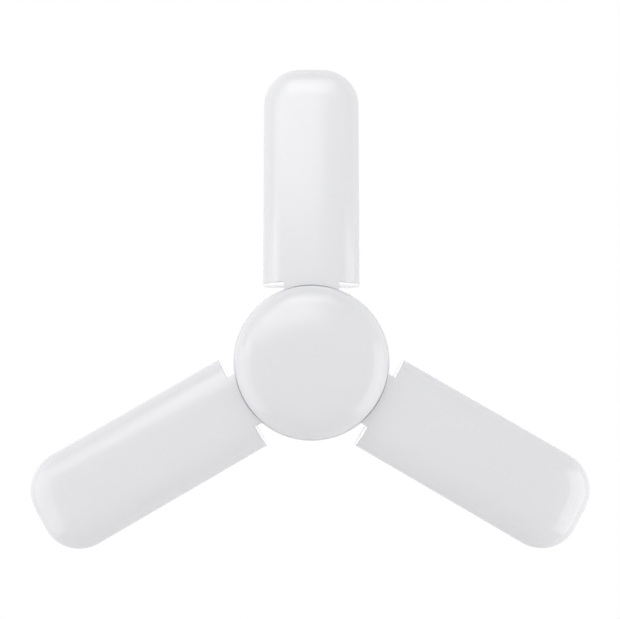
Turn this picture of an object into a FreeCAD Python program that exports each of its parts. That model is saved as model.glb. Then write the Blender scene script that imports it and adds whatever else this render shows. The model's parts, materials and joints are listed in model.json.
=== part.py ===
"""Folding three-leaf ceiling lamp with a screw cap, as it hangs: cap up, light faces down.

Frame: millimetres, +Z up.  The origin is on the lamp's axis, at the plane where the screw shell
meets the neck housing.  Leaves point to 90, 210 and 330 degrees and lie open and level.
Every leaf piece is drawn once, pointing along +X, and then turned to its three places.
"""

import FreeCAD, Part
import math
import os

from FreeCAD import Vector

# ---- driving dimensions ------------------------------------------------------------------

# screw cap, standard 27 mm Edison size
SHELL_R = 13.1              # over the crests of the thread
SHELL_LENGTH = 19.5         # straight part
SHELL_SHEET = 0.4
SHELL_SHOULDER_R = 2.0
SHELL_MOUTH_R = 8.6
INSULATOR_SETBACK = 0.7     # its base stands in from the shell's round shoulder
INSULATOR_TOP_R = 5.9
INSULATOR_RISE = 3.3
INSULATOR_BASE_EDGE = 0.5
INSULATOR_PLUG_DEPTH = 1.8
CONTACT_R = 5.0
CONTACT_THICKNESS = 1.5
CONTACT_EDGE_R = 0.7
CONTACT_STEM_R = 1.2
CONTACT_STEM_LENGTH = 6.0

# neck housing
NECK_LENGTH = 52.0
NECK_TOP_R = 15.6
NECK_TO_LEAF = 1.1          # from the neck's foot to the back of a folded leaf
NECK_BULGE = 1.3            # how far the flank swells past a straight cone
NECK_WALL = 1.8
COLLAR_HEIGHT = 3.2
COLLAR_STEP = 0.7           # the collar stands this far proud of the flank
COLLAR_EDGE_R = 0.8
SPIGOT_WALL = 1.9
SPIGOT_HEIGHT = 16.5
SPIGOT_LEAD_IN = 0.6        # chamfer on the spigot's top
SHELL_SEAT_HEIGHT = 2.2     # plain foot of the spigot, which the shell's foot is staked to
THREAD_ROOM = 1.0           # the spigot stands in this far above its foot, behind the rolled thread
NECK_VENTS = 18
NECK_VENT_WIDTH = 2.2
NECK_VENT_LENGTH = 19.0
NECK_VENT_ABOVE_DECK = 6.0
NECK_POST_R = 2.9
NECK_POST_HEIGHT = 13.0
POST_SINK = 0.3             # a neck post merges this deep with the wall

# hub housing and its cover
HUB_R = 29.9
HUB_WALL = 2.0
HUB_DECK = 2.0              # thickness of the deck the neck stands on
HUB_SKIRT = 14.0            # from the hinge axes down to the rim
DECK_LAND = 1.5             # deck left between a screw head and the middle hole
HUB_COVER_SETBACK = 0.4     # the cover's side stands in from the housing's
HUB_COVER_DEPTH = 10.0
HUB_COVER_SHOULDER_R = 7.0
HUB_COVER_CROWN_R = 140.0
COVER_WALL = 1.5
LIP_WALL = 1.2
LIP_HEIGHT = 3.0

# hinges
EAR_R = 4.0                 # round end of each ear, and of each knuckle
EAR_THICKNESS = 3.0
HINGE_WIDTH = 15.4          # between the inner faces of two ears
KNUCKLE_GAP = 7.0           # cable way between a leaf's two knuckles
PIN_R = 1.5
PIN_SETBACK = 0.5           # a pin ends this far inside its knuckle
WASHER_SETBACK = 0.5        # a washer's edge stands in from the ear's
WASHER_THICKNESS = 0.5
POCKET_WALL = 1.6
EAR_FOOT = 9.6              # from the hinge axis down to where an ear runs out on the hub's side
STOP_WIDTH = 2.4            # ledge in the hub's side that an open leaf rests on
STOP_GAP = 0.2

# leaves
LEAF_COUNT = 3
FIRST_LEAF_ANGLE = 90.0
LEAF_WIDTH = 38.6
LEAF_LENGTH = 88.8
LEAF_CORNER_R = 14.8
LEAF_TO_HUB = 0.9           # gap between the hub's side and a leaf's inner end
APRON_TO_HUB = 0.3          # gap between the hub's side and the apron under a leaf's hinge
LEAF_COVER_DEPTH = 10.5
LEAF_COVER_SHOULDER_R = 4.6
LEAF_COVER_CROWN_R = 58.0   # across the leaf
LEAF_COVER_END_R = 70.0     # along the leaf, where its outer end rises
LEAF_COVER_END_RUN = 24.0
PARTING_BELOW_HINGE = 5.0   # plane where a leaf's back and cover meet
BACK_ABOVE_HINGE = 2.5
BACK_WALL = 1.8
BACK_EDGE_R = 4.0
BACK_INSET = 0.3            # the back stands in this far behind the cover's edge
BACK_VENT_MARGIN = 13.0     # plain stretch left at each end of the vent rows
BACK_VENT_GAP = 1.4         # from the screw posts to the vents
BACK_VENT_LENGTH = 9.5
BACK_VENT_WIDTH = 2.2
BACK_VENT_PITCH = 7.6
BACK_POST_R = 2.8

# boards, plates and light chips
HEAT_PLATE = 1.0
LED_BOARD = 1.2
CHIP_LENGTH = 3.5
CHIP_WIDTH = 2.8
CHIP_HEIGHT = 0.7
LEAF_CHIP_PITCH = 6.6
LEAF_CHIP_INSET = 5.5       # from a chip's middle to the board's long edge
LEAF_CHIP_END_INSET = 4.6   # from the end chips to the board's ends, at least
LEAF_BOARD_INSET = 5.3      # from the leaf's side
LEAF_BOARD_SETBACK = 5.0    # from the leaf's inner end
LEAF_BOARD_END_GAP = 5.6    # from the leaf's outer end
PLATE_BEYOND_BOARD = 1.0    # the heat plate's inner end past the board's
LEAF_SCREW_INSET = 5.0      # from the board's inner end to the first screw
LEAF_SCREW_END_INSET = 6.0
HUB_BOARD_GAP = 1.4         # from the hub's inner wall
HUB_OUTER_CHIPS = 12
HUB_OUTER_CHIPS_INSET = 7.5 # from the board's edge
HUB_INNER_CHIPS = 6
HUB_INNER_CHIPS_R = 9.0
HUB_PLATE_DROP = 8.6        # from the deck's underside to the heat plate
HUB_POST_GAP = 1.2          # from a hub post to the inner wall

# driver
DRIVER_BOARD = 1.6
DRIVER_HALF_WIDTH = 12.4
DRIVER_TAB_HALF_WIDTH = 7.6
DRIVER_BOTTOM_ABOVE_DECK = 4.0
DRIVER_SHOULDER_DROP = 11.0 # below the origin
DRIVER_TAB_TOP = 12.0       # above the origin
RAIL_DEPTH = 1.0            # each guide rail stands this far each side of its slot
RAIL_GRIP = 1.4             # how far a rail reaches over the board's edge
CAPACITOR_R = 5.0
CAPACITOR_LENGTH = 16.0
CAPACITOR_AT = (-5.4, 3.0)  # across the board, and above its lower edge
INDUCTOR_R = 4.2
INDUCTOR_WAIST_R = 3.6
INDUCTOR_LENGTH = 9.0
INDUCTOR_FLANGE = 1.3
INDUCTOR_AT = (6.0, 4.0)
FILM_CAPACITOR = (9.0, 5.0, 10.0)   # width, height off the board, length
FILM_CAPACITOR_AT = (0.0, 26.0)
RECTIFIER = (4.8, 1.5, 6.4)
RECTIFIER_AT = (4.5, 31.0)
CONTROL_CHIP = (4.9, 1.5, 3.9)
CONTROL_CHIP_AT = (-2.0, 8.0)
FUSE_R = 1.7
FUSE_LENGTH = 9.0
FUSE_AT = (-3.6, 43.5)
COMPONENT_EDGE = 0.5        # chamfer on a component's edges

# screws and leads
SCREW_R = 1.3
SCREW_HEAD_R = 2.3
SCREW_HEAD = 1.5
SCREW_HEAD_EDGE = 0.6       # chamfer on the head
SCREW_LENGTH = 5.5          # below the head, in the neck and the hub
LEAF_SCREW_LENGTH = 4.2     # below the head, in a leaf
POST_RIB = 1.4              # rib that ties a hub post to the wall
LEAD_R = 0.55
LEAD_SPACING = 2.4
LEAD_BEND_R = 1.6
LEAD_LAP = 4.0              # length of a lead that lies on its board
LEAD_WALL_GAP = 0.5
LEAD_ABOVE_TAB = 3.2        # where the live lead leaves the contact's axis
LEAD_DOWN_TAB = 6.0
NEUTRAL_AT_X = 5.0

# clearances
SLIP = 0.15                 # fixed piece in its seat
RUN = 0.05                  # turning piece on its pin, on the radius
SWING = 0.5                 # moving piece past a fixed wall

# ---- levels and places that follow from them ---------------------------------------------

DECK_Z = -NECK_LENGTH
HINGE_Z = DECK_Z - EAR_R
HINGE_AT_R = HUB_R - EAR_R
NECK_BASE_R = HINGE_AT_R - BACK_ABOVE_HINGE - NECK_TO_LEAF
NECK_POST_AT_R = NECK_BASE_R - NECK_WALL - NECK_POST_R + POST_SINK
DECK_HOLE_R = NECK_POST_AT_R - SCREW_HEAD_R - DECK_LAND
HUB_INNER_R = HUB_R - HUB_WALL
HUB_COVER_R = HUB_R - HUB_COVER_SETBACK
HUB_BOARD_R = HUB_INNER_R - HUB_BOARD_GAP
HUB_POST_AT_R = HUB_INNER_R - BACK_POST_R - HUB_POST_GAP
RIM_Z = HINGE_Z - HUB_SKIRT
WEB_LOW_Z = HINGE_Z - EAR_R + SWING
PARTING_Z = HINGE_Z - PARTING_BELOW_HINGE
BACK_Z = HINGE_Z + BACK_ABOVE_HINGE
LEAF_START = HUB_R + LEAF_TO_HUB
LEAF_END = LEAF_START + LEAF_LENGTH
SHELL_SEAT_R = SHELL_R - SHELL_SHEET - SLIP
SPIGOT_R = SHELL_SEAT_R - THREAD_ROOM
SHELL_TOP_Z = SHELL_LENGTH + SHELL_SHOULDER_R
CONTACT_Z = SHELL_TOP_Z + INSULATOR_RISE

POCKET_IN = HINGE_AT_R - EAR_R - SWING
POCKET_FLOOR_Z = HINGE_Z - EAR_R - SWING
EAR_INNER_Y = HINGE_WIDTH / 2
EAR_OUTER_Y = EAR_INNER_Y + EAR_THICKNESS
KNUCKLE_OUTER_Y = EAR_INNER_Y - WASHER_THICKNESS - 2 * RUN
KNUCKLE_INNER_Y = KNUCKLE_GAP / 2

LEAF_PLATE_Z = PARTING_Z + LIP_HEIGHT + SLIP
LEAF_BOARD_Z = LEAF_PLATE_Z - LED_BOARD
HUB_PLATE_Z = DECK_Z - HUB_DECK - HUB_PLATE_DROP
HUB_BOARD_Z = HUB_PLATE_Z - HEAT_PLATE - LED_BOARD
DRIVER_BOTTOM_Z = DECK_Z + DRIVER_BOTTOM_ABOVE_DECK
BETWEEN_LEAVES = 180.0 / LEAF_COUNT

ORIGIN = Vector(0, 0, 0)
UP = Vector(0, 0, 1)
CLOSE = 1e-4                # points nearer than this are the same point
PAST = 1.0                  # how far a cutter reaches past what it cuts
ACROSS = Vector(0, 1, 0)


# ---- drawing helpers -----------------------------------------------------------------------

class Profile:
    """A closed outline drawn edge by edge in the X-Z plane, X being the radius."""

    def __init__(self, x, z):
        self.start = self.at = Vector(x, 0, z)
        self.edges = []

    def line(self, x, z):
        end = Vector(x, 0, z)
        self.edges.append(Part.LineSegment(self.at, end).toShape())
        self.at = end
        return self

    def arc(self, through, end):
        middle, last = (Vector(x, 0, z) for x, z in (through, end))
        self.edges.append(Part.Arc(self.at, middle, last).toShape())
        self.at = last
        return self

    def corner(self, centre_x, centre_z, radius, from_deg, to_deg):
        """A round corner about a centre, from where the outline stands."""
        middle, last = (
            (centre_x + radius * math.cos(a), centre_z + radius * math.sin(a))
            for a in (math.radians((from_deg + to_deg) / 2), math.radians(to_deg))
        )
        return self.arc(middle, last)

    def face(self):
        if self.at.distanceToPoint(self.start) > CLOSE:
            self.line(self.start.x, self.start.z)
        return Part.Face(Part.Wire(self.edges))

    def turned(self):
        return self.face().revolve(ORIGIN, UP, 360)

    def between(self, y_low, y_high):
        """The outline as a slab from one Y to another."""
        face = self.face()
        face.translate(Vector(0, y_low, 0))
        return face.extrude(Vector(0, y_high - y_low, 0))


def box(x, y, z):
    """A box from three (low, high) pairs."""
    solid = Part.makeBox(x[1] - x[0], y[1] - y[0], z[1] - z[0])
    solid.translate(Vector(x[0], y[0], z[0]))
    return solid


def rod(radius, start, end):
    """A round bar between two points."""
    run = end - start
    return Part.makeCylinder(radius, run.Length, start, run)


def drum(radius, z_low, z_high, x=0.0, y=0.0):
    return rod(radius, Vector(x, y, z_low), Vector(x, y, z_high))


def fused(first, *others):
    return first.fuse(list(others)).removeSplitter() if others else first


def mirrored(shape):
    """The shape's mirror image in the X-Z plane."""
    return shape.mirror(ORIGIN, ACROSS)


def turned_about_axis(shape, degrees):
    copy = shape.copy()
    copy.rotate(ORIGIN, UP, degrees)
    return copy


def around(shape, count, first=0.0):
    """Copies of a shape, evenly spaced about the lamp's axis."""
    return [turned_about_axis(shape, first + 360.0 * n / count) for n in range(count)]


def slot(half_length, half_width, along, centre, depth):
    """A round-ended slot cutter: along is the long direction, depth the cutting vector."""
    side = depth.cross(along)
    along, side = along * (half_length - half_width), side * (half_width / side.Length)
    low, high = centre - along, centre + along
    ends = [
        Part.Arc(low + side, low - along * (half_width / along.Length), low - side).toShape(),
        Part.Arc(high - side, high + along * (half_width / along.Length), high + side).toShape(),
    ]
    sides = [
        Part.LineSegment(low - side, high - side).toShape(),
        Part.LineSegment(high + side, low + side).toShape(),
    ]
    wire = Part.Wire([ends[0], sides[0], ends[1], sides[1]])
    return Part.Face(wire).extrude(depth)


def plan_outline(x_low, x_high, half_width, corner_r, z):
    """A leaf's plan: straight across at the inner end, round corners at the outer end."""
    cut = corner_r * (1 - math.sqrt(0.5))
    inner = Vector(x_low, -half_width, z)
    points = [
        Vector(x_high - corner_r, -half_width, z),
        Vector(x_high - cut, -half_width + cut, z),
        Vector(x_high, -half_width + corner_r, z),
        Vector(x_high, half_width - corner_r, z),
        Vector(x_high - cut, half_width - cut, z),
        Vector(x_high - corner_r, half_width, z),
        Vector(x_low, half_width, z),
    ]
    edges = [
        Part.LineSegment(inner, points[0]),
        Part.Arc(points[0], points[1], points[2]),
        Part.LineSegment(points[2], points[3]),
        Part.Arc(points[3], points[4], points[5]),
        Part.LineSegment(points[5], points[6]),
        Part.LineSegment(points[6], inner),
    ]
    return Part.Face(Part.Wire([edge.toShape() for edge in edges]))


def leaf_plan(inset, start_inset=0.0, end_inset=None, z=None):
    """A leaf's plan drawn in from its sides and outer end, and separately from its inner end."""
    end_inset = inset if end_inset is None else end_inset
    return plan_outline(
        LEAF_START + start_inset, LEAF_END - end_inset, LEAF_WIDTH / 2 - inset,
        LEAF_CORNER_R - end_inset, PARTING_Z if z is None else z,
    )


def shoulder_edges(body, plan):
    """Edges along a leaf form's sides and outer end, away from the parting plane."""
    inner_end = plan.BoundBox.XMin + CLOSE
    found = []
    for edge in body.Edges:
        middle = edge.valueAt((edge.FirstParameter + edge.LastParameter) / 2)
        ends = [vertex.Point.z for vertex in edge.Vertexes]
        below = Part.Vertex(middle.x, middle.y, plan.BoundBox.ZMin)
        on_side = below.distToShape(plan.OuterWire)[0] < CLOSE and middle.x > inner_end
        if on_side and all(abs(z - PARTING_Z) > CLOSE for z in ends):
            found.append(edge)
    return found


def leaf_apron():
    """Block of the cover that reaches in under its hinge, as wide as the ears and below their feet."""
    inner_x = math.sqrt((HUB_R + APRON_TO_HUB) ** 2 - EAR_OUTER_Y ** 2)
    slope = (EAR_FOOT - EAR_R) / EAR_R
    foot_z = HINGE_Z - EAR_R - (HUB_R - inner_x) * slope
    return box(
        (HINGE_AT_R, LEAF_START + COVER_WALL / 2), (-EAR_OUTER_Y, EAR_OUTER_Y),
        (PARTING_Z - LEAF_COVER_DEPTH, foot_z - SWING),
    )


def leaf_cover_form(inset, *reaching_in):
    """The leaf cover's outside, or its inside: crowned across, and rising at the outer end.

    Blocks that reach in past its inner end are crowned with it."""
    plan = leaf_plan(inset, start_inset=inset)
    bottom_z = PARTING_Z - LEAF_COVER_DEPTH + inset
    crown_r, end_r = LEAF_COVER_CROWN_R - inset, LEAF_COVER_END_R - inset
    half, bend_x = LEAF_WIDTH / 2 + PAST, LEAF_END - LEAF_COVER_END_RUN
    crown_z = bottom_z + crown_r
    side_z = crown_z - math.sqrt(crown_r ** 2 - half ** 2)
    left, right = Vector(bend_x, -half, side_z), Vector(bend_x, half, side_z)
    top_right, top_left = Vector(bend_x, half, PARTING_Z), Vector(bend_x, -half, PARTING_Z)
    section = Part.Face(Part.Wire([
        Part.Arc(left, Vector(bend_x, 0, bottom_z), right).toShape(),
        Part.LineSegment(right, top_right).toShape(),
        Part.LineSegment(top_right, top_left).toShape(),
        Part.LineSegment(top_left, left).toShape(),
    ]))
    straight = section.extrude(Vector(HINGE_AT_R - bend_x - PAST, 0, 0))
    sweep = math.degrees(math.asin((LEAF_COVER_END_RUN + PAST) / (end_r - LEAF_COVER_DEPTH)))
    rising = section.revolve(Vector(bend_x, 0, bottom_z + end_r), Vector(0, -1, 0), sweep)
    block = fused(plan.extrude(Vector(0, 0, bottom_z - PARTING_Z)), *reaching_in)
    body = block.common(straight.fuse(rising).removeSplitter())
    return body.makeFillet(LEAF_COVER_SHOULDER_R - inset, shoulder_edges(body, plan))


def leaf_back_form(inset, start_inset):
    """The leaf back's outside, or its inside: flat, with rounded edges."""
    plan = leaf_plan(BACK_INSET + inset, start_inset=start_inset)
    body = plan.extrude(Vector(0, 0, BACK_Z - inset - PARTING_Z))
    return body.makeFillet(BACK_EDGE_R - inset, shoulder_edges(body, plan))


def lead(points):
    """A round wire along straight runs, with a small tangent bend at each corner."""
    edges, at = [], points[0]
    for before, corner, after in zip(points, points[1:], points[2:]):
        come, go = (corner - before).normalize(), (after - corner).normalize()
        half_turn = come.getAngle(go) / 2
        reach = LEAD_BEND_R * math.tan(half_turn)
        enter, leave = corner - come * reach, corner + go * reach
        inward = (go - come).normalize()
        middle = corner + inward * (LEAD_BEND_R / math.cos(half_turn) - LEAD_BEND_R)
        edges += [Part.LineSegment(at, enter).toShape(), Part.Arc(enter, middle, leave).toShape()]
        at = leave
    edges.append(Part.LineSegment(at, points[-1]).toShape())
    path = Part.Wire(edges)
    ring = Part.Wire([Part.Circle(points[0], points[1] - points[0], LEAD_R).toShape()])
    return path.makePipeShell([ring], True, False)


def screw(x, seat_z, length):
    """A pan-head screw on the X axis, driven upwards until its head seats at seat_z."""
    low_z = seat_z - SCREW_HEAD
    outline = Profile(0, low_z).line(SCREW_HEAD_R - SCREW_HEAD_EDGE, low_z)
    outline.line(SCREW_HEAD_R, low_z + SCREW_HEAD_EDGE)
    outline.line(SCREW_HEAD_R, seat_z).line(SCREW_R, seat_z)
    outline.line(SCREW_R, seat_z + length).line(0, seat_z + length)
    body = outline.turned()
    body.translate(Vector(x, 0, 0))
    return body


def screw_bore(x, low_z, high_z):
    return drum(SCREW_R + RUN, low_z, high_z, x=x)


# ---- screw cap -----------------------------------------------------------------------------

def cap_shell():
    bend_x = SHELL_R - SHELL_SHOULDER_R
    inner_r = SHELL_SHOULDER_R - SHELL_SHEET
    outline = Profile(SHELL_R, 0).line(SHELL_R, SHELL_LENGTH)
    outline.corner(bend_x, SHELL_LENGTH, SHELL_SHOULDER_R, 0, 90)
    outline.line(SHELL_MOUTH_R, SHELL_TOP_Z)
    outline.line(SHELL_MOUTH_R, SHELL_TOP_Z - SHELL_SHEET)
    outline.line(bend_x, SHELL_TOP_Z - SHELL_SHEET)
    outline.corner(bend_x, SHELL_LENGTH, inner_r, 90, 0)
    outline.line(SHELL_R - SHELL_SHEET, 0)
    return outline.turned()


def cap_insulator():
    plug_r = SHELL_MOUTH_R - SLIP
    bore_r = CONTACT_STEM_R + RUN
    base_r = SHELL_R - SHELL_SHOULDER_R - INSULATOR_SETBACK
    outline = Profile(base_r, SHELL_TOP_Z)
    outline.line(base_r, SHELL_TOP_Z + INSULATOR_BASE_EDGE)
    outline.line(INSULATOR_TOP_R, CONTACT_Z)
    outline.line(bore_r, CONTACT_Z)
    outline.line(bore_r, SHELL_TOP_Z - INSULATOR_PLUG_DEPTH)
    outline.line(plug_r, SHELL_TOP_Z - INSULATOR_PLUG_DEPTH)
    outline.line(plug_r, SHELL_TOP_Z)
    return outline.turned()


def cap_contact():
    top = CONTACT_Z + CONTACT_THICKNESS
    outline = Profile(0, CONTACT_Z - CONTACT_STEM_LENGTH)
    outline.line(CONTACT_STEM_R, CONTACT_Z - CONTACT_STEM_LENGTH)
    outline.line(CONTACT_STEM_R, CONTACT_Z).line(CONTACT_R, CONTACT_Z)
    outline.line(CONTACT_R, top - CONTACT_EDGE_R)
    outline.corner(CONTACT_R - CONTACT_EDGE_R, top - CONTACT_EDGE_R, CONTACT_EDGE_R, 0, 90)
    outline.line(0, top)
    return outline.turned()


# ---- neck housing --------------------------------------------------------------------------

def neck_flank(inset):
    """Top, middle and bottom of the neck's flank, as (radius, z), drawn in by inset."""
    top_z = -COLLAR_HEIGHT
    top = NECK_TOP_R - COLLAR_STEP
    middle = (top + NECK_BASE_R) / 2 + NECK_BULGE
    return [
        (top - inset, top_z),
        (middle - inset, (top_z + DECK_Z) / 2),
        (NECK_BASE_R - inset, DECK_Z),
    ]


def neck_radius(z, inset=0.0):
    """Radius of the flank at a height, on the circle through its three points."""
    (r0, z0), (r1, z1), (r2, z2) = neck_flank(inset)
    arc = Part.Arc(Vector(r0, 0, z0), Vector(r1, 0, z1), Vector(r2, 0, z2)).toShape().Curve
    return arc.Center.x + math.sqrt(arc.Radius ** 2 - (z - arc.Center.z) ** 2)


def driver_rails():
    """Two channels down the inside of the neck that hold the driver board by its edges."""
    half_slot = DRIVER_BOARD / 2 + SLIP
    low, high = DRIVER_BOTTOM_Z, -DRIVER_SHOULDER_DROP
    block = box(
        (DRIVER_HALF_WIDTH - RAIL_GRIP, NECK_BASE_R),
        (-half_slot - RAIL_DEPTH, half_slot + RAIL_DEPTH),
        (low, high),
    )
    groove = box(
        (DRIVER_HALF_WIDTH - 2 * RAIL_GRIP, DRIVER_HALF_WIDTH + SLIP), (-half_slot, half_slot),
        (low - PAST, high + PAST),
    )
    rail = block.cut(groove)
    return [rail, turned_about_axis(rail, 180)]


def neck_housing():
    spigot_bore = SPIGOT_R - SPIGOT_WALL
    outer, inner = neck_flank(0), neck_flank(NECK_WALL)
    body = Profile(SPIGOT_R - SPIGOT_LEAD_IN, SPIGOT_HEIGHT)
    body.line(SPIGOT_R, SPIGOT_HEIGHT - SPIGOT_LEAD_IN).line(SPIGOT_R, SHELL_SEAT_HEIGHT)
    body.line(SHELL_SEAT_R, SHELL_SEAT_HEIGHT).line(SHELL_SEAT_R, 0)
    body.line(NECK_TOP_R - COLLAR_EDGE_R, 0)
    body.corner(NECK_TOP_R - COLLAR_EDGE_R, -COLLAR_EDGE_R, COLLAR_EDGE_R, 90, 0)
    body.line(NECK_TOP_R, -COLLAR_HEIGHT).line(*outer[0])
    body.arc(outer[1], outer[2]).line(0, DECK_Z).line(0, SPIGOT_HEIGHT)
    envelope = body.turned()

    hollow = Profile(0, DECK_Z).line(*inner[2]).arc(inner[1], inner[0])
    hollow.line(spigot_bore, -COLLAR_HEIGHT + NECK_WALL)
    hollow.line(spigot_bore, SPIGOT_HEIGHT).line(0, SPIGOT_HEIGHT)
    cavity = hollow.turned()

    post = drum(NECK_POST_R, DECK_Z, DECK_Z + NECK_POST_HEIGHT, x=NECK_POST_AT_R)
    posts = around(post, LEAF_COUNT, FIRST_LEAF_ANGLE + BETWEEN_LEAVES)
    inside = cavity.common(Part.Compound(posts + driver_rails()))
    housing = fused(envelope.cut(cavity), *inside.Solids)

    bore = screw_bore(NECK_POST_AT_R, DECK_Z - PAST, DECK_Z - HUB_DECK + SCREW_LENGTH + PAST)
    low_z = DECK_Z + NECK_VENT_ABOVE_DECK
    high_z = low_z + NECK_VENT_LENGTH
    middle_z = (low_z + high_z) / 2
    lean = Vector(neck_radius(high_z) - neck_radius(low_z), 0, NECK_VENT_LENGTH).normalize()
    vent = slot(
        NECK_VENT_LENGTH / 2, NECK_VENT_WIDTH / 2, lean,
        Vector(neck_radius(middle_z) - 2 * NECK_WALL, 0, middle_z), Vector(4 * NECK_WALL, 0, 0),
    )
    vents = around(vent, NECK_VENTS, 180.0 / NECK_VENTS)
    bores = around(bore, LEAF_COUNT, FIRST_LEAF_ANGLE + BETWEEN_LEAVES)
    clear_of_posts = [v for v in vents if v.distToShape(Part.Compound(posts))[0] > NECK_WALL / 2]
    return housing.cut(clear_of_posts + bores)


# ---- hub housing ---------------------------------------------------------------------------

def hub_envelope(inset):
    """The hub's outside, or with an inset its inside, from the deck down to the rim."""
    shoulder_r = EAR_R - inset
    outline = Profile(0, DECK_Z - inset).line(HINGE_AT_R, DECK_Z - inset)
    outline.corner(HINGE_AT_R, HINGE_Z, shoulder_r, 90, 0)
    outline.line(HUB_R - inset, RIM_Z).line(0, RIM_Z)
    return outline.turned()


def hinge_ear():
    """One ear: a round end about the hinge axis on a foot that runs down the hub's side."""
    foot_z = HINGE_Z - EAR_FOOT
    outline = Profile(POCKET_IN - POCKET_WALL, DECK_Z).line(HINGE_AT_R, DECK_Z)
    outline.corner(HINGE_AT_R, HINGE_Z, EAR_R, 90, 0)
    outline.line(HUB_R, HINGE_Z - EAR_R).line(HINGE_AT_R, foot_z)
    outline.line(POCKET_IN - POCKET_WALL, foot_z)
    ear = outline.between(EAR_INNER_Y, EAR_OUTER_Y)
    return ear.cut(drum(HUB_INNER_R, RIM_Z, POCKET_FLOOR_Z - POCKET_WALL))


def hinge_pocket_block():
    """Walls of the pocket that a leaf's knuckles turn in."""
    return box(
        (POCKET_IN - POCKET_WALL, HUB_R),
        (-EAR_INNER_Y - POCKET_WALL, EAR_INNER_Y + POCKET_WALL),
        (POCKET_FLOOR_Z - POCKET_WALL, DECK_Z),
    )


def hinge_pocket():
    """Room for a leaf's knuckles, less the ledge that stops the leaf when it is level."""
    across = (-EAR_INNER_Y, EAR_INNER_Y)
    room = box((POCKET_IN, HUB_R + PAST), across, (POCKET_FLOOR_Z, DECK_Z + PAST))
    ledge = box((HUB_R - STOP_WIDTH, HUB_R + PAST), across, (POCKET_FLOOR_Z, WEB_LOW_Z - STOP_GAP))
    return room.cut(ledge)


def cable_window(x_low, x_high):
    """Round-ended hole for a leaf's two leads, level with the hinge axis."""
    half_height = LEAD_R + 2 * SLIP + RUN
    return slot(
        LEAD_SPACING / 2 + half_height, half_height, ACROSS,
        Vector(x_low, 0, HINGE_Z), Vector(x_high - x_low, 0, 0),
    )


def hinge_rod(radius, y_low, y_high):
    """A round bar on the hinge axis."""
    return rod(radius, Vector(HINGE_AT_R, y_low, HINGE_Z), Vector(HINGE_AT_R, y_high, HINGE_Z))


def pin_bore():
    return hinge_rod(PIN_R, -EAR_OUTER_Y - PAST, EAR_OUTER_Y + PAST)


def hub_housing():
    envelope, cavity = hub_envelope(0), hub_envelope(HUB_WALL)
    shell = envelope.cut(cavity)
    post_top = DECK_Z - HUB_DECK
    post = fused(
        drum(BACK_POST_R, HUB_PLATE_Z, post_top + RUN, x=HUB_POST_AT_R),
        box(
            (HUB_POST_AT_R, HUB_R - HUB_WALL / 2), (-POST_RIB / 2, POST_RIB / 2),
            (HUB_PLATE_Z, post_top + RUN),
        ),
    )
    posts = around(post, LEAF_COUNT, FIRST_LEAF_ANGLE + BETWEEN_LEAVES)
    blocks = around(hinge_pocket_block().common(envelope), LEAF_COUNT, FIRST_LEAF_ANGLE)
    ears = []
    for ear in (hinge_ear(), mirrored(hinge_ear())):
        ears += around(ear, LEAF_COUNT, FIRST_LEAF_ANGLE)
    body = fused(shell, *posts, *blocks, *ears)

    deck_hole = drum(DECK_HOLE_R, post_top - PAST, DECK_Z + PAST)
    cuts = [deck_hole]
    window = cable_window(POCKET_IN - POCKET_WALL - PAST, POCKET_IN + PAST)
    for cutter in (hinge_pocket(), pin_bore(), window):
        cuts += around(cutter, LEAF_COUNT, FIRST_LEAF_ANGLE)
    neck_hole = drum(SCREW_R + SLIP, post_top - PAST, DECK_Z + PAST, x=NECK_POST_AT_R)
    post_bore = screw_bore(HUB_POST_AT_R, HUB_PLATE_Z - PAST, HUB_BOARD_Z + SCREW_LENGTH + PAST)
    for cutter in (neck_hole, post_bore):
        cuts += around(cutter, LEAF_COUNT, FIRST_LEAF_ANGLE + BETWEEN_LEAVES)
    return body.cut(cuts)


def neck_screws():
    one = screw(NECK_POST_AT_R, DECK_Z - HUB_DECK, SCREW_LENGTH)
    return around(one, LEAF_COUNT, FIRST_LEAF_ANGLE + BETWEEN_LEAVES)


# ---- hub light -----------------------------------------------------------------------------

def hub_disc(radius, z_low, thickness):
    """Heat plate or light board, with its screw holes and lead holes."""
    disc = drum(radius, z_low, z_low + thickness)
    hole = drum(SCREW_R + SLIP, z_low - PAST, z_low + thickness + PAST, x=HUB_POST_AT_R)
    centre = drum(LEAD_SPACING / 2 + 3 * LEAD_R, z_low - PAST, z_low + thickness + PAST)
    cuts = around(hole, LEAF_COUNT, FIRST_LEAF_ANGLE + BETWEEN_LEAVES) + [centre]
    way = slot(
        LEAD_SPACING / 2 + 2 * LEAD_R, 2 * LEAD_R, ACROSS,
        Vector(lead_drop_x(), 0, z_low - PAST), Vector(0, 0, thickness + 2 * PAST),
    )
    return disc.cut(cuts + around(way, LEAF_COUNT, FIRST_LEAF_ANGLE))


def hub_heat_plate():
    radius = HUB_INNER_R - SLIP
    return hub_disc(radius, HUB_PLATE_Z - HEAT_PLATE, HEAT_PLATE)


def hub_led_board():
    return hub_disc(HUB_BOARD_R, HUB_BOARD_Z, LED_BOARD)


def chip(x, y, board_z, turn=0.0):
    """One light chip under a board, its long side along X before it is turned."""
    one = box(
        (-CHIP_LENGTH / 2, CHIP_LENGTH / 2), (-CHIP_WIDTH / 2, CHIP_WIDTH / 2),
        (board_z - CHIP_HEIGHT, board_z),
    )
    one.rotate(ORIGIN, UP, turn)
    one.translate(Vector(x, y, 0))
    return one


def hub_leds():
    rings = []
    outer_r = HUB_BOARD_R - HUB_OUTER_CHIPS_INSET
    for count, radius, first in (
        (HUB_OUTER_CHIPS, outer_r, 180.0 / HUB_OUTER_CHIPS), (HUB_INNER_CHIPS, HUB_INNER_CHIPS_R, 0.0),
    ):
        rings += around(chip(radius, 0, HUB_BOARD_Z, 90), count, first)
    return rings


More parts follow.
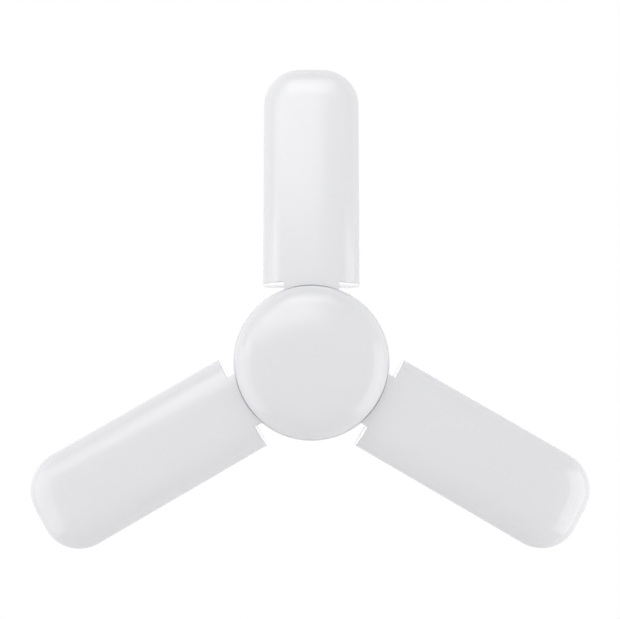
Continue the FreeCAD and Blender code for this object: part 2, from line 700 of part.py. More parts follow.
def hub_screws():
    one = screw(HUB_POST_AT_R, HUB_BOARD_Z, SCREW_LENGTH)
    return around(one, LEAF_COUNT, FIRST_LEAF_ANGLE + BETWEEN_LEAVES)


def hub_cover_form(inset):
    """Round cover's outside, or its inside with an inset: side, shoulder and crowned face."""
    radius, shoulder_r = HUB_COVER_R - inset, HUB_COVER_SHOULDER_R - inset
    bottom_z = RIM_Z - HUB_COVER_DEPTH + inset
    crown_r = HUB_COVER_CROWN_R - inset
    crown_z = bottom_z + crown_r
    bend_x = radius - shoulder_r
    reach = crown_r - shoulder_r
    bend_z = crown_z - math.sqrt(reach ** 2 - bend_x ** 2)
    lean = math.degrees(math.asin(bend_x / reach))
    outline = Profile(0, RIM_Z).line(radius, RIM_Z).line(radius, bend_z)
    outline.corner(bend_x, bend_z, shoulder_r, 0, lean - 90)
    half = math.radians(lean / 2)
    outline.arc((crown_r * math.sin(half), crown_z - crown_r * math.cos(half)), (0, bottom_z))
    return outline.turned()


def hub_cover():
    dome = hub_cover_form(0).cut(hub_cover_form(COVER_WALL))
    lip_r = HUB_INNER_R - SLIP
    low_z, top_z = RIM_Z - COVER_WALL, RIM_Z + LIP_HEIGHT
    rim = drum(HUB_COVER_R, low_z, RIM_Z).fuse(drum(lip_r, low_z, top_z))
    return fused(dome, rim.cut(drum(lip_r - LIP_WALL, low_z - PAST, top_z + PAST)))


# ---- driver --------------------------------------------------------------------------------

def driver_board():
    thickness = (-DRIVER_BOARD / 2, DRIVER_BOARD / 2)
    shoulder_z = -DRIVER_SHOULDER_DROP
    wide = box((-DRIVER_HALF_WIDTH, DRIVER_HALF_WIDTH), thickness, (DRIVER_BOTTOM_Z, shoulder_z))
    tab = box((-DRIVER_TAB_HALF_WIDTH, DRIVER_TAB_HALF_WIDTH), thickness, (shoulder_z, DRIVER_TAB_TOP))
    return fused(wide, tab)


def beside_board(at, radius):
    """Centre of a round component of that radius on the board's front: x, y, and its lowest z."""
    across, above = at
    return across, DRIVER_BOARD / 2 + radius, DRIVER_BOTTOM_Z + above


def chamfered(solid, size, edges=None):
    return solid.makeChamfer(size, edges or solid.Edges)


def driver_capacitor():
    """Round can standing along the board's front."""
    x, y, low = beside_board(CAPACITOR_AT, CAPACITOR_R)
    can = drum(CAPACITOR_R, low, low + CAPACITOR_LENGTH, x=x, y=y)
    return chamfered(can, COMPONENT_EDGE, closed_edges(can))


def closed_edges(solid):
    return [edge for edge in solid.Edges if edge.Closed]


def driver_inductor():
    """Drum core with its two flanges, on the board's front."""
    x, y, low = beside_board(INDUCTOR_AT, INDUCTOR_R)
    high = low + INDUCTOR_LENGTH
    outline = Profile(0, low).line(INDUCTOR_R, low).line(INDUCTOR_R, low + INDUCTOR_FLANGE)
    outline.line(INDUCTOR_WAIST_R, low + INDUCTOR_FLANGE).line(INDUCTOR_WAIST_R, high - INDUCTOR_FLANGE)
    outline.line(INDUCTOR_R, high - INDUCTOR_FLANGE).line(INDUCTOR_R, high).line(0, high)
    core = outline.turned()
    core.translate(Vector(x, y, 0))
    return core


def block_on_board(size, at, front):
    """A block component at a place on one face of the driver board."""
    (width, rise, length), (across, above) = size, at
    near, low = DRIVER_BOARD / 2, DRIVER_BOTTOM_Z + above
    y = (near, near + rise) if front else (-near - rise, -near)
    return box((across - width / 2, across + width / 2), y, (low, low + length))


def driver_film_capacitor():
    return chamfered(block_on_board(FILM_CAPACITOR, FILM_CAPACITOR_AT, False), COMPONENT_EDGE)


def driver_chips():
    return [
        block_on_board(RECTIFIER, RECTIFIER_AT, True),
        block_on_board(CONTROL_CHIP, CONTROL_CHIP_AT, False),
    ]


def driver_fuse():
    """Round fuse resistor lying up the board's tab."""
    x, y, low = beside_board(FUSE_AT, FUSE_R)
    body = drum(FUSE_R, low, low + FUSE_LENGTH, x=x, y=y)
    return chamfered(body, COMPONENT_EDGE, closed_edges(body))


def mains_leads():
    """Live lead from the contact's stem, and neutral lead bent over the spigot to the shell."""
    beside = DRIVER_BOARD / 2 + LEAD_R
    stem_z = CONTACT_Z - CONTACT_STEM_LENGTH
    live = lead([
        Vector(0, 0, stem_z), Vector(0, 0, DRIVER_TAB_TOP + LEAD_ABOVE_TAB),
        Vector(0, beside, DRIVER_TAB_TOP), Vector(0, beside, DRIVER_TAB_TOP - LEAD_DOWN_TAB),
    ])
    over_z = SPIGOT_HEIGHT + LEAD_R + SLIP
    neutral = lead([
        Vector(NEUTRAL_AT_X, -beside, DRIVER_TAB_TOP - LEAD_DOWN_TAB),
        Vector(NEUTRAL_AT_X, -beside, over_z),
        Vector(SHELL_SEAT_R, -beside, over_z),
    ])
    return [live, neutral]


def driver_leads():
    """Two leads from the driver board down to the hub's light board."""
    beside = DRIVER_BOARD / 2 + LEAD_R
    below = HUB_BOARD_Z - LEAD_R
    one = lead([
        Vector(LEAD_SPACING / 2, beside, DRIVER_BOTTOM_Z + LEAD_LAP),
        Vector(LEAD_SPACING / 2, beside, below),
        Vector(LEAD_SPACING / 2 + LEAD_LAP, beside, below),
    ])
    other = one.mirror(ORIGIN, Vector(1, 0, 0))
    return [one, other]


# ---- leaves, drawn pointing along +X ---------------------------------------------------------

def leaf_cover():
    """Opal cover: a crowned shell with a lip, and an apron that follows the hub's side."""
    hub_side = drum(HUB_R + APRON_TO_HUB, PARTING_Z - LEAF_COVER_DEPTH - PAST, PARTING_Z)
    shell = leaf_cover_form(0, leaf_apron()).cut([leaf_cover_form(COVER_WALL), hub_side])
    lip_out = BACK_INSET + BACK_WALL + SLIP
    lip_in = lip_out + LIP_WALL
    rim = leaf_ring(0, lip_in, PARTING_Z - COVER_WALL, PARTING_Z)
    lip = leaf_ring(lip_out, lip_in, PARTING_Z - COVER_WALL, PARTING_Z + LIP_HEIGHT)
    notch = box(
        (LEAF_START, LEAF_START + 2 * lip_in), (-KNUCKLE_INNER_Y, KNUCKLE_INNER_Y),
        (PARTING_Z, PARTING_Z + LIP_HEIGHT + PAST),
    )
    return fused(shell, rim, lip.cut(notch))


def leaf_ring(outer_inset, inner_inset, z_low, z_high):
    """An upright rim that follows the leaf's plan between two insets."""
    plans = [leaf_plan(inset, start_inset=inset, z=z_low) for inset in (outer_inset, inner_inset)]
    outer, inner = (plan.extrude(Vector(0, 0, z_high - z_low)) for plan in plans)
    return outer.cut(inner)


def leaf_knuckles():
    """Two round knuckles on the hinge axis, each with its web to the leaf's end wall."""
    web_x = LEAF_START + BACK_WALL / 2
    rise = math.degrees(math.asin((HINGE_Z - WEB_LOW_Z) / EAR_R))
    fall = math.degrees(math.asin(BACK_ABOVE_HINGE / EAR_R))
    outline = Profile(web_x, BACK_Z)
    outline.line(HINGE_AT_R + EAR_R * math.cos(math.radians(fall)), BACK_Z)
    outline.corner(HINGE_AT_R, HINGE_Z, EAR_R, fall, 360 - rise)
    outline.line(web_x, WEB_LOW_Z)
    one = outline.between(KNUCKLE_INNER_Y, KNUCKLE_OUTER_Y)
    return [one, mirrored(one)]


def leaf_posts():
    """Places of the screws that hold a leaf's board, along its middle."""
    first = LEAF_START + LEAF_BOARD_SETBACK + LEAF_SCREW_INSET
    last = LEAF_END - LEAF_BOARD_END_GAP - LEAF_SCREW_END_INSET
    return [first, (first + last) / 2, last]


def spread(first, last, pitch):
    """Places a pitch apart, as many as fit between two limits, centred between them."""
    count = int((last - first) / pitch + CLOSE) + 1
    start = (first + last - pitch * (count - 1)) / 2
    return [start + pitch * n for n in range(count)]


def back_vents():
    """Two rows of slots across a leaf's back, beside its screw posts."""
    y = BACK_POST_R + BACK_VENT_GAP + BACK_VENT_LENGTH / 2
    places = spread(LEAF_START + BACK_VENT_MARGIN, LEAF_END - BACK_VENT_MARGIN, BACK_VENT_PITCH)
    return [
        slot(
            BACK_VENT_LENGTH / 2, BACK_VENT_WIDTH / 2, ACROSS,
            Vector(x, side * y, BACK_Z - 2 * BACK_WALL), Vector(0, 0, 3 * BACK_WALL),
        )
        for x in places for side in (-1, 1)
    ]


def leaf_back():
    shell = leaf_back_form(0, 0).cut(leaf_back_form(BACK_WALL, BACK_WALL))
    blind_z = BACK_Z - BACK_WALL / 2
    posts = [drum(BACK_POST_R, LEAF_PLATE_Z + HEAT_PLATE, blind_z, x=x) for x in leaf_posts()]
    body = fused(shell, *posts, *leaf_knuckles())
    bores = [screw_bore(x, LEAF_PLATE_Z, blind_z) for x in leaf_posts()]
    pin_way = hinge_rod(PIN_R + RUN, -KNUCKLE_OUTER_Y - PAST, KNUCKLE_OUTER_Y + PAST)
    window = cable_window(LEAF_START - PAST, LEAF_START + BACK_WALL + PAST)
    return body.cut(bores + back_vents() + [pin_way, window])


def leaf_sheet(inset, setback, end_gap, z, thickness):
    """A heat plate or light board in a leaf, with its screw holes."""
    sheet = leaf_plan(inset, setback, end_gap, z).extrude(Vector(0, 0, thickness))
    holes = [drum(SCREW_R + SLIP, z - PAST, z + thickness + PAST, x=x) for x in leaf_posts()]
    return sheet.cut(holes)


def leaf_heat_plate():
    inset = BACK_INSET + BACK_WALL + SLIP
    setback = LEAF_BOARD_SETBACK - PLATE_BEYOND_BOARD
    return leaf_sheet(inset, setback, inset, LEAF_PLATE_Z, HEAT_PLATE)


def leaf_led_board():
    return leaf_sheet(
        LEAF_BOARD_INSET, LEAF_BOARD_SETBACK, LEAF_BOARD_END_GAP, LEAF_BOARD_Z, LED_BOARD
    )


def leaf_leds():
    first = LEAF_START + LEAF_BOARD_SETBACK + LEAF_CHIP_END_INSET
    last = LEAF_END - LEAF_BOARD_END_GAP - LEAF_CHIP_END_INSET
    y = LEAF_WIDTH / 2 - LEAF_BOARD_INSET - LEAF_CHIP_INSET
    return [
        chip(x, side * y, LEAF_BOARD_Z)
        for x in spread(first, last, LEAF_CHIP_PITCH) for side in (-1, 1)
    ]


def leaf_screws():
    return [screw(x, LEAF_BOARD_Z, LEAF_SCREW_LENGTH) for x in leaf_posts()]


def lead_drop_x():
    """Where a leaf's leads turn down to the hub's light board."""
    return POCKET_IN - POCKET_WALL - LEAD_BEND_R - LEAD_R


def leaf_leads():
    """A leaf's pair of leads, from its board through the hinge to the hub's light board."""
    leaf_pad_z = LEAF_BOARD_Z - LEAD_R
    hub_pad_z = HUB_BOARD_Z - LEAD_R
    rise_x = LEAF_START + BACK_WALL + LEAD_R + LEAD_WALL_GAP
    pair = []
    for y in (-LEAD_SPACING / 2, LEAD_SPACING / 2):
        pair.append(lead([
            Vector(rise_x + LEAD_LAP, y, leaf_pad_z), Vector(rise_x, y, leaf_pad_z),
            Vector(rise_x, y, HINGE_Z), Vector(lead_drop_x(), y, HINGE_Z),
            Vector(lead_drop_x(), y, hub_pad_z), Vector(lead_drop_x() - LEAD_LAP, y, hub_pad_z),
        ]))
    return pair


def hinge_pins():
    """Two short steel pins, pressed into the ears from outside."""
    pin = hinge_rod(PIN_R, KNUCKLE_INNER_Y + PIN_SETBACK, EAR_OUTER_Y)
    return [pin, mirrored(pin)]


def friction_washers():
    """Spring washers between each ear and its knuckle, which hold the leaf where it is put."""
    low = KNUCKLE_OUTER_Y + RUN
    high = low + WASHER_THICKNESS
    ring = hinge_rod(EAR_R - WASHER_SETBACK, low, high)
    washer = ring.cut(hinge_rod(PIN_R + RUN, low - PAST, high + PAST))
    return [washer, mirrored(washer)]


# ---- building --------------------------------------------------------------------------------

CENTRE_PIECES = {
    "cap_shell": cap_shell,
    "cap_insulator": cap_insulator,
    "cap_contact": cap_contact,
    "neck_housing": neck_housing,
    "neck_screws": neck_screws,
    "hub_housing": hub_housing,
    "hub_heat_plate": hub_heat_plate,
    "hub_led_board": hub_led_board,
    "hub_leds": hub_leds,
    "hub_screws": hub_screws,
    "hub_cover": hub_cover,
    "driver_board": driver_board,
    "driver_capacitor": driver_capacitor,
    "driver_inductor": driver_inductor,
    "driver_film_capacitor": driver_film_capacitor,
    "driver_chips": driver_chips,
    "driver_fuse": driver_fuse,
    "driver_leads": driver_leads,
    "mains_leads": mains_leads,
}

LEAF_PIECES = {
    "back": leaf_back,
    "cover": leaf_cover,
    "heat_plate": leaf_heat_plate,
    "led_board": leaf_led_board,
    "leds": leaf_leds,
    "screws": leaf_screws,
    "leads": leaf_leads,
    "hinge_pins": hinge_pins,
    "friction_washers": friction_washers,
}


def as_shape(made):
    """One solid, or a group of separate solids, ready to export."""
    if not isinstance(made, list):
        made = [made]
    solids = [solid for shape in made for solid in shape.Solids]
    return solids[0] if len(solids) == 1 else Part.Compound(solids)


def main():
    os.makedirs("parts", exist_ok=True)
    for name, make in CENTRE_PIECES.items():
        as_shape(make()).exportStep(f"parts/{name}.step")
    for piece, make in LEAF_PIECES.items():
        drawn = as_shape(make())
        for number in range(LEAF_COUNT):
            angle = FIRST_LEAF_ANGLE + number * 360.0 / LEAF_COUNT
            turned_about_axis(drawn, angle).exportStep(f"parts/leaf_{number + 1}_{piece}.step")


if __name__ == "__main__":
    main()
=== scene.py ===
"""Looks of a folding three-leaf lamp with a screw cap, seen from below as it hangs.

Metres, +Z up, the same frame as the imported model: the origin is on the lamp's axis, where the
screw shell meets the neck.  Leaf pieces are worked out pointing along +X and then turned.
"""

import json
import math

import bmesh
import bpy
import numpy as np
from mathutils import Matrix, Vector


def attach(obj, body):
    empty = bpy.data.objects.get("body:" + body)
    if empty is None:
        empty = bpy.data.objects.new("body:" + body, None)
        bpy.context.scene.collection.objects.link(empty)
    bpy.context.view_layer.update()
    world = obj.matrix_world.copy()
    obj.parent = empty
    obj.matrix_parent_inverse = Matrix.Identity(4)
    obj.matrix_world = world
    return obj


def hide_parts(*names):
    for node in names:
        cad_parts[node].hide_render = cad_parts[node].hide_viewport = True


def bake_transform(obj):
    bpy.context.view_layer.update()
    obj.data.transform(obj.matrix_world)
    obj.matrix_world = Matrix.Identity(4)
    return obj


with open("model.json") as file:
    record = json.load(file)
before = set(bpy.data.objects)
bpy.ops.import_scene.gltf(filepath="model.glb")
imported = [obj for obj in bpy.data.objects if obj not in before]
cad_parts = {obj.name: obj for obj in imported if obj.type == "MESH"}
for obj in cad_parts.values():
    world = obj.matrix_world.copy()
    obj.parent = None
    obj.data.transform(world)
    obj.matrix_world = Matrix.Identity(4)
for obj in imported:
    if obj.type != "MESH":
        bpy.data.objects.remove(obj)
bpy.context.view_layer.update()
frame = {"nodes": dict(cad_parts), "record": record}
nodes = frame["nodes"]

MM = 0.001

# ---- sizes, in millimetres -------------------------------------------------------------------

LEAF_ANGLES = (90.0, 210.0, 330.0)
LEAF_START, LEAF_END = 30.8, 119.6
LEAF_HALF_WIDTH = 19.3
LEAF_CORNER = 14.8
LEAF_SPINE_END = 96.5           # past here the cover falls towards its outer end
PARTING_Z = -61.0
COVER_DEPTH = 10.5
COVER_WALL = 1.5
COVER_EDGE = 0.5                # round edge of the cover's inner end
APRON_R = 30.2                  # the apron under the hinge is hollowed to this radius
APRON_HALF_WIDTH = 10.7
APRON_TOP_Z = -63.0
APRON_LIP_R, APRON_LIP_DRAFT = 29.52, 0.12      # its thin foot closes up to the hub's cover
APRON_LIP_TOP_Z = -70.3
APRON_EDGE = 0.2
LIP_OUT, LIP_IN, LIP_HEIGHT = 2.25, 3.45, 3.0
LIP_NOTCH, LIP_NOTCH_FLOOR = 3.5, 0.05          # half width, and the height left under it
HOLLOW_HOLD = 0.3               # a line of points this far below the hollow's ledge
LEAF_SHARPNESS = 3.0            # how square the crowned face is across

HUB_COVER_R = 29.5
HUB_RIM_Z = -70.0
HUB_COVER_DEPTH = 10.0
HUB_LIP_OUT, HUB_LIP_IN = 27.75, 26.55
HUB_SHARPNESS = 4.0

THREAD_R, THREAD_PITCH = 13.1, 3.629
THREAD_DEPTH, THREAD_START = 1.0, 4.754         # the start is an angle, in radians
THREAD_RUN_IN, THREAD_RUN_OUT = (2.6, 4.6), (17.4, 19.4)
SHELL_LENGTH, SHELL_SHEET, SHELL_SHOULDER, SHELL_MOUTH = 19.5, 0.4, 2.0, 8.6
DIMPLES, DIMPLE_Z, DIMPLE_R, DIMPLE_DEPTH = 8, 1.5, 0.55, 0.35

INSULATOR_BASE, INSULATOR_FOOT_ROUND = 10.4, 0.5
INSULATOR_FLANK = ((9.2, 1.15), (8.0, 2.0))     # radius, and height above the foot
INSULATOR_RING = ((6.9, 24.15), (6.55, 24.55))  # radius and z
INSULATOR_TOP, INSULATOR_TOP_ROUND, INSULATOR_TOP_Z = 5.9, 0.45, 24.8
STEM_BORE, PLUG_R, PLUG_Z = 1.25, 8.45, 19.7

CONTACT_R, CONTACT_ROLL, CONTACT_TOP_Z = 5.0, 0.7, 26.3
CONTACT_FOOT_R, CONTACT_FOOT_RISE = 4.6, 0.5
CONTACT_RING, CONTACT_RING_DEPTH = (3.6, 3.3, 2.9, 2.6), 0.12
STEM_R, STEM_Z = 1.2, 18.8

HINGE_Z, HINGE_R = -56.0, 25.9
LEAD_BEND = 4.2                 # a distance each side of the hinge; the points it gives are not used
LEAD_R, LEAD_Y = 0.55, 1.2
LEAD_SHOULDER = 0.85            # share of the radius that the ring next to an end has
LEAD_ROUTE = (                  # distance from the lamp's axis, and z
    (37.6, -59.6), (34.6, -59.6), (33.65, -59.3), (33.4, -56.1), (32.0, -56.0), (29.0, -56.0),
    (26.0, -56.0), (23.0, -56.0), (20.5, -56.0), (17.7, -56.2), (17.6, -59.0), (17.6, -63.0),
    (17.5, -66.0), (15.5, -66.0), (13.7, -66.0),
)

COIL_PITCH = 0.6

# ---- how finely the surfaces are divided -----------------------------------------------------

TURN_STEPS = 192                # round the hub's cover and the screw shell
INSULATOR_STEPS, CONTACT_STEPS = 128, 96
LEAF_ACROSS_STEPS, HUB_ACROSS_STEPS = 34, 40
SIDE_STEPS, BEND_STEPS, TIP_STEPS = 40, 24, 8   # along a leaf's side, its corner and half its tip
SHELL_RINGS = 118
LEAD_RINGS, LEAD_SIDES = 90, 16
CREASE = 38.0                   # an edge that turns more degrees than this is sharp
HOLD = 0.35                     # a line of points this near an edge keeps its shading tight
TOUCH = 0.001                   # columns nearer than this are at one place across
WELD, SLIVER = 0.0002, 0.0001   # points this near are merged, and edges this short are dropped


# ---- shader nodes ----------------------------------------------------------------------------

class Value:
    """A number that varies over a surface. Arithmetic on it adds Math nodes."""

    def __init__(self, nodes, socket):
        self.nodes, self.socket = nodes, socket

    def math(self, operation, *terms, clamp=False):
        """Result of a Math node on the terms."""
        settings = {"operation": operation, "use_clamp": clamp}
        made = self.nodes.add("Math", settings, dict(enumerate(terms)))
        return Value(self.nodes, made.outputs[0])

    def __add__(self, other):
        return self.math("ADD", self, other)

    def __sub__(self, other):
        return self.math("SUBTRACT", self, other)

    def __rsub__(self, other):
        return self.math("SUBTRACT", other, self)

    def __mul__(self, other):
        return self.math("MULTIPLY", self, other)

    __radd__, __rmul__ = __add__, __mul__

    def above(self, low, high):
        """0 up to low, 1 from high on, and an even rise between them."""
        return self.math("MULTIPLY", self - low, 1.0 / (high - low), clamp=True)

    def sine(self):
        return self.math("SINE", self)


class Nodes:
    """Node tree of one material or of the world."""

    def __init__(self, tree):
        self.tree = tree
        tree.nodes.clear()

    def add(self, kind, settings=None, inputs=None):
        """A node of a kind, with its settings and with the values or links of its sockets."""
        made = self.tree.nodes.new("ShaderNode" + kind)
        for name, value in (settings or {}).items():
            setattr(made, name, value)
        for name, value in (inputs or {}).items():
            value = value.socket if isinstance(value, Value) else value
            if isinstance(value, bpy.types.NodeSocket):
                self.tree.links.new(value, made.inputs[name])
            else:
                made.inputs[name].default_value = value
        return made

    def value(self, made, output):
        return Value(self, made.outputs[output])

    def place(self, scale=(1.0, 1.0, 1.0)):
        """The point in the object's own coordinates, in metres, stretched."""
        at = self.add("TexCoord").outputs["Object"]
        return self.add("Mapping", {}, {"Vector": at, "Scale": scale}).outputs["Vector"]

    def parts(self, vector):
        """X, Y and Z of a vector."""
        made = self.add("SeparateXYZ", {}, {"Vector": vector})
        return [self.value(made, axis) for axis in range(3)]

    def noise(self, vector, scale, detail=2.0, roughness=0.5):
        """Even noise round 0.5, with a scale of features in a metre."""
        inputs = {"Vector": vector, "Scale": scale, "Detail": detail, "Roughness": roughness}
        return self.value(self.add("TexNoise", {}, inputs), "Fac")

    def mix(self, factor, first, second):
        """A colour between two, by a factor. The numbers are the places of the sockets."""
        inputs = {0: factor, 6: (*first, 1.0), 7: (*second, 1.0)}
        return self.add("Mix", {"data_type": "RGBA"}, inputs).outputs[2]

    def bump(self, height, distance, strength, under=None):
        """Relief of a height in metres, on top of another relief where one is given."""
        inputs = {"Height": height, "Distance": distance, "Strength": strength}
        if under is not None:
            inputs["Normal"] = under
        return self.add("Bump", {}, inputs).outputs["Normal"]

    def finish(self, **inputs):
        """The surface shader. Input names have _ for their spaces."""
        named = {name.replace("_", " "): value for name, value in inputs.items()}
        shader = self.add("BsdfPrincipled", {}, named)
        self.add("OutputMaterial", {}, {"Surface": shader.outputs["BSDF"]})


def material(name):
    made = bpy.data.materials.new(name)
    made.use_nodes = True
    return made, Nodes(made.node_tree)


# ---- finishes --------------------------------------------------------------------------------

def opal_plastic():
    """Milk-white diffuser: faint moulding waviness, and a gloss that varies a little."""
    made, n = material("opal_plastic")
    flow = n.noise(n.place((1.0, 1.0, 0.4)), scale=26.0)
    fine = n.noise(n.place(), scale=420.0)
    waves = n.bump(flow, distance=0.0004, strength=0.3)
    n.finish(
        Base_Color=n.mix(flow, (0.845, 0.846, 0.872), (0.858, 0.858, 0.882)),
        Roughness=0.12 + 0.04 * flow + 0.02 * fine,
        IOR=1.49,
        Normal=n.bump(fine, distance=0.00002, strength=0.25, under=waves),
    )
    return made


def moulded_white():
    """White housing plastic with a fine spark-eroded grain."""
    made, n = material("moulded_white")
    at = n.place()
    grain = n.noise(at, scale=1700.0, detail=3.0, roughness=0.6)
    patch = n.noise(at, scale=34.0, detail=3.0)
    n.finish(
        Base_Color=n.mix(patch, (0.835, 0.835, 0.85), (0.865, 0.865, 0.875)),
        Roughness=0.20 + 0.10 * patch + 0.06 * grain,
        IOR=1.5,
        Normal=n.bump(grain, distance=0.00006, strength=0.35),
    )
    return made


def plated_metal(name, light, dark, rough, along=(1.0, 1.0, 1.0), scale=240.0):
    """Plated or rolled metal: fine streaks along one direction and faint tarnish."""
    made, n = material(name)
    streak = n.noise(n.place(along), scale, detail=4.0, roughness=0.6)
    tarnish = n.noise(n.place(), scale=90.0, detail=3.0)
    n.finish(
        Base_Color=n.mix((streak * 0.35 + tarnish * 0.75).above(0.3, 0.8), light, dark),
        Metallic=1.0,
        Roughness=rough * (0.75 + 0.5 * streak),
        Normal=n.bump(streak, distance=0.00003, strength=0.3),
    )
    return made


def smooth_plastic(name, light, dark, rough):
    """Plain plastic, lacquer or rubber with a slight change of tone."""
    made, n = material(name)
    patch = n.noise(n.place(), scale=60.0, detail=3.0)
    fine = n.noise(n.place(), scale=1320.0)
    n.finish(
        Base_Color=n.mix(patch, light, dark),
        Roughness=rough + 0.12 * (patch - 0.5) + 0.05 * fine,
        Normal=n.bump(fine, distance=0.00003, strength=0.3),
    )
    return made


def board_mask(name, mask, track):
    """Circuit board under its solder mask, with raised tracks that show faintly."""
    made, n = material(name)
    at = n.place()
    brick = n.add("TexBrick", {"offset": 0.5}, {
        "Vector": at, "Scale": 190.0, "Mortar Size": 0.03, "Brick Width": 1.4, "Row Height": 0.45,
    })
    lines = n.value(brick, "Fac")
    grime = n.noise(at, scale=160.0, detail=3.0)
    n.finish(
        Base_Color=n.mix(lines * 0.5 + grime * 0.15, mask, track),
        Roughness=0.34 + 0.12 * grime,
        Normal=n.bump(lines, distance=0.00004, strength=0.5),
    )
    return made


def wound_copper():
    """Lacquered copper wound about an upright axis. The colour goes dark in the grooves between
    the windings and light on their crowns: painted shade.
    """
    made, n = material("wound_copper")
    up = n.parts(n.place())[2]
    winding_relief_and_shade = (up * (2 * math.pi / (COIL_PITCH * MM))).sine() * 0.5 + 0.5
    n.finish(
        # Dark in the grooves between the windings, light on their crowns: painted shade.
        Base_Color=n.mix(winding_relief_and_shade, (0.28, 0.10, 0.035), (0.72, 0.33, 0.14)),
        Metallic=1.0,
        Roughness=0.42 - 0.12 * winding_relief_and_shade,
        Normal=n.bump(winding_relief_and_shade, distance=0.0001, strength=0.8),
    )
    return made


def light_chip():
    """Yellow phosphor behind clear resin."""
    made, n = material("light_chip")
    speck = n.noise(n.place(), scale=2600.0, detail=3.0)
    n.finish(
        Base_Color=n.mix(speck, (0.86, 0.70, 0.16), (0.93, 0.83, 0.38)),
        Roughness=0.22 + 0.1 * speck,
        Coat_Weight=0.4,
        Normal=n.bump(speck, distance=0.00005, strength=0.3),
    )
    return made


METALS = {                      # light and dark tone, roughness, the streaks' stretch and scale
    "plated_cap": ((0.80, 0.775, 0.73), (0.62, 0.595, 0.55), 0.24, (1.0, 1.0, 9.0), 120.0),
    "contact_metal": ((0.83, 0.79, 0.70), (0.60, 0.56, 0.48), 0.34),
    "plate_aluminium": (
        (0.86, 0.865, 0.87), (0.72, 0.725, 0.735), 0.36, (0.15, 4.0, 1.0), 700.0
    ),
    "screw_steel": ((0.70, 0.69, 0.67), (0.50, 0.49, 0.47), 0.30),
    "washer_steel": ((0.66, 0.66, 0.67), (0.48, 0.48, 0.50), 0.34),
}
PLASTICS = {                    # two tones and a roughness
    "black_insulator": ((0.018, 0.018, 0.020), (0.03, 0.03, 0.032), 0.30),
    "capacitor_sleeve": ((0.015, 0.018, 0.03), (0.03, 0.034, 0.05), 0.34),
    "film_block": ((0.62, 0.09, 0.06), (0.72, 0.14, 0.09), 0.38),
    "black_component": ((0.02, 0.02, 0.021), (0.04, 0.04, 0.042), 0.5),
    "fuse_body": ((0.31, 0.50, 0.55), (0.38, 0.58, 0.63), 0.4),
    "lead_insulation": ((0.80, 0.79, 0.76), (0.88, 0.87, 0.85), 0.42),
}
BOARDS = {                      # tone of the solder mask, and over the tracks
    "white_board": ((0.84, 0.84, 0.83), (0.66, 0.64, 0.58)),
    "driver_board": ((0.05, 0.24, 0.09), (0.12, 0.33, 0.16)),
}
FINISHES = {
    "opal_cover": opal_plastic(),
    "white_housing": moulded_white(),
    "light_chips": light_chip(),
    "coil_copper": wound_copper(),
}
for make, rows in ((plated_metal, METALS), (smooth_plastic, PLASTICS), (board_mask, BOARDS)):
    FINISHES.update({name: make(name, *row) for name, row in rows.items()})


# ---- surfaces --------------------------------------------------------------------------------

def grid(points, close_rows=False, close_columns=False):
    """Quads between neighbouring points of a (rows, columns, 3) grid, and the points as a list."""
    rows, columns = points.shape[:2]
    row = np.arange(rows if close_rows else rows - 1)[:, None]
    column = np.arange(columns if close_columns else columns - 1)[None, :]
    below, beside = (row + 1) % rows, (column + 1) % columns
    corners = [row * columns + column, below * columns + column,
               below * columns + beside, row * columns + beside]
    quads = np.stack(np.broadcast_arrays(*corners), -1).reshape(-1, 4)
    return points.reshape(-1, 3), quads


def turned(points, degrees):
    """Points turned about the lamp's axis."""
    a = math.radians(degrees)
    turn = np.array([[math.cos(a), math.sin(a), 0], [-math.sin(a), math.cos(a), 0], [0, 0, 1]])
    return points @ turn


def new_piece(name, grids, slot, body=None, stands_for=()):
    """One welded mesh from several grids in millimetres, smooth except at creases."""
    points, quads, count = [], [], 0
    for some_points, some_quads in grids:
        points.append(some_points * MM)
        quads.append(some_quads + count)
        count += len(some_points)
    points, quads = np.concatenate(points), np.concatenate(quads)
    mesh = bpy.data.meshes.new(name)
    mesh.vertices.add(len(points))
    mesh.vertices.foreach_set("co", points.astype(np.float32).ravel())
    mesh.loops.add(quads.size)
    mesh.loops.foreach_set("vertex_index", quads.astype(np.int32).ravel())
    mesh.polygons.add(len(quads))
    mesh.polygons.foreach_set("loop_start", np.arange(0, quads.size, 4, dtype=np.int32))
    mesh.update(calc_edges=True)
    weld(mesh)
    mesh.shade_smooth()
    mesh.set_sharp_from_angle(angle=math.radians(CREASE))
    mesh.materials.append(FINISHES[slot])
    piece = in_scene(name, mesh)
    if body:
        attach(piece, body)
    if stands_for:
        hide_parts(*stands_for)
    return piece


def weld(mesh):
    """Merges points that meet, drops faces that have closed up, and turns every face outwards."""
    form = bmesh.new()
    form.from_mesh(mesh)
    bmesh.ops.remove_doubles(form, verts=form.verts, dist=WELD * MM)
    bmesh.ops.dissolve_degenerate(form, edges=form.edges, dist=SLIVER * MM)
    bmesh.ops.recalc_face_normals(form, faces=form.faces)
    form.to_mesh(mesh)
    form.free()


def in_scene(name, data):
    """A new object of a mesh, a lamp or a camera."""
    made = bpy.data.objects.new(name, data)
    bpy.context.scene.collection.objects.link(made)
    return made


def full_turn(steps):
    """Evenly spaced angles of one turn."""
    return np.linspace(0, 2 * np.pi, steps, endpoint=False)


def revolved(profile, steps):
    """A profile of (radius, z) points carried round the lamp's axis."""
    angle = full_turn(steps)
    radius, z = np.asarray(profile, float).T
    points = np.stack([
        radius[:, None] * np.cos(angle), radius[:, None] * np.sin(angle),
        np.broadcast_to(z[:, None], (len(z), steps)),
    ], -1)
    return grid(points, close_columns=True)


def arc(centre_r, centre_z, radius, from_deg, to_deg, steps):
    """Points of a round corner in a profile or a plan."""
    a = np.radians(np.linspace(from_deg, to_deg, steps + 1))
    return np.stack([centre_r + radius * np.cos(a), centre_z + radius * np.sin(a)], 1)


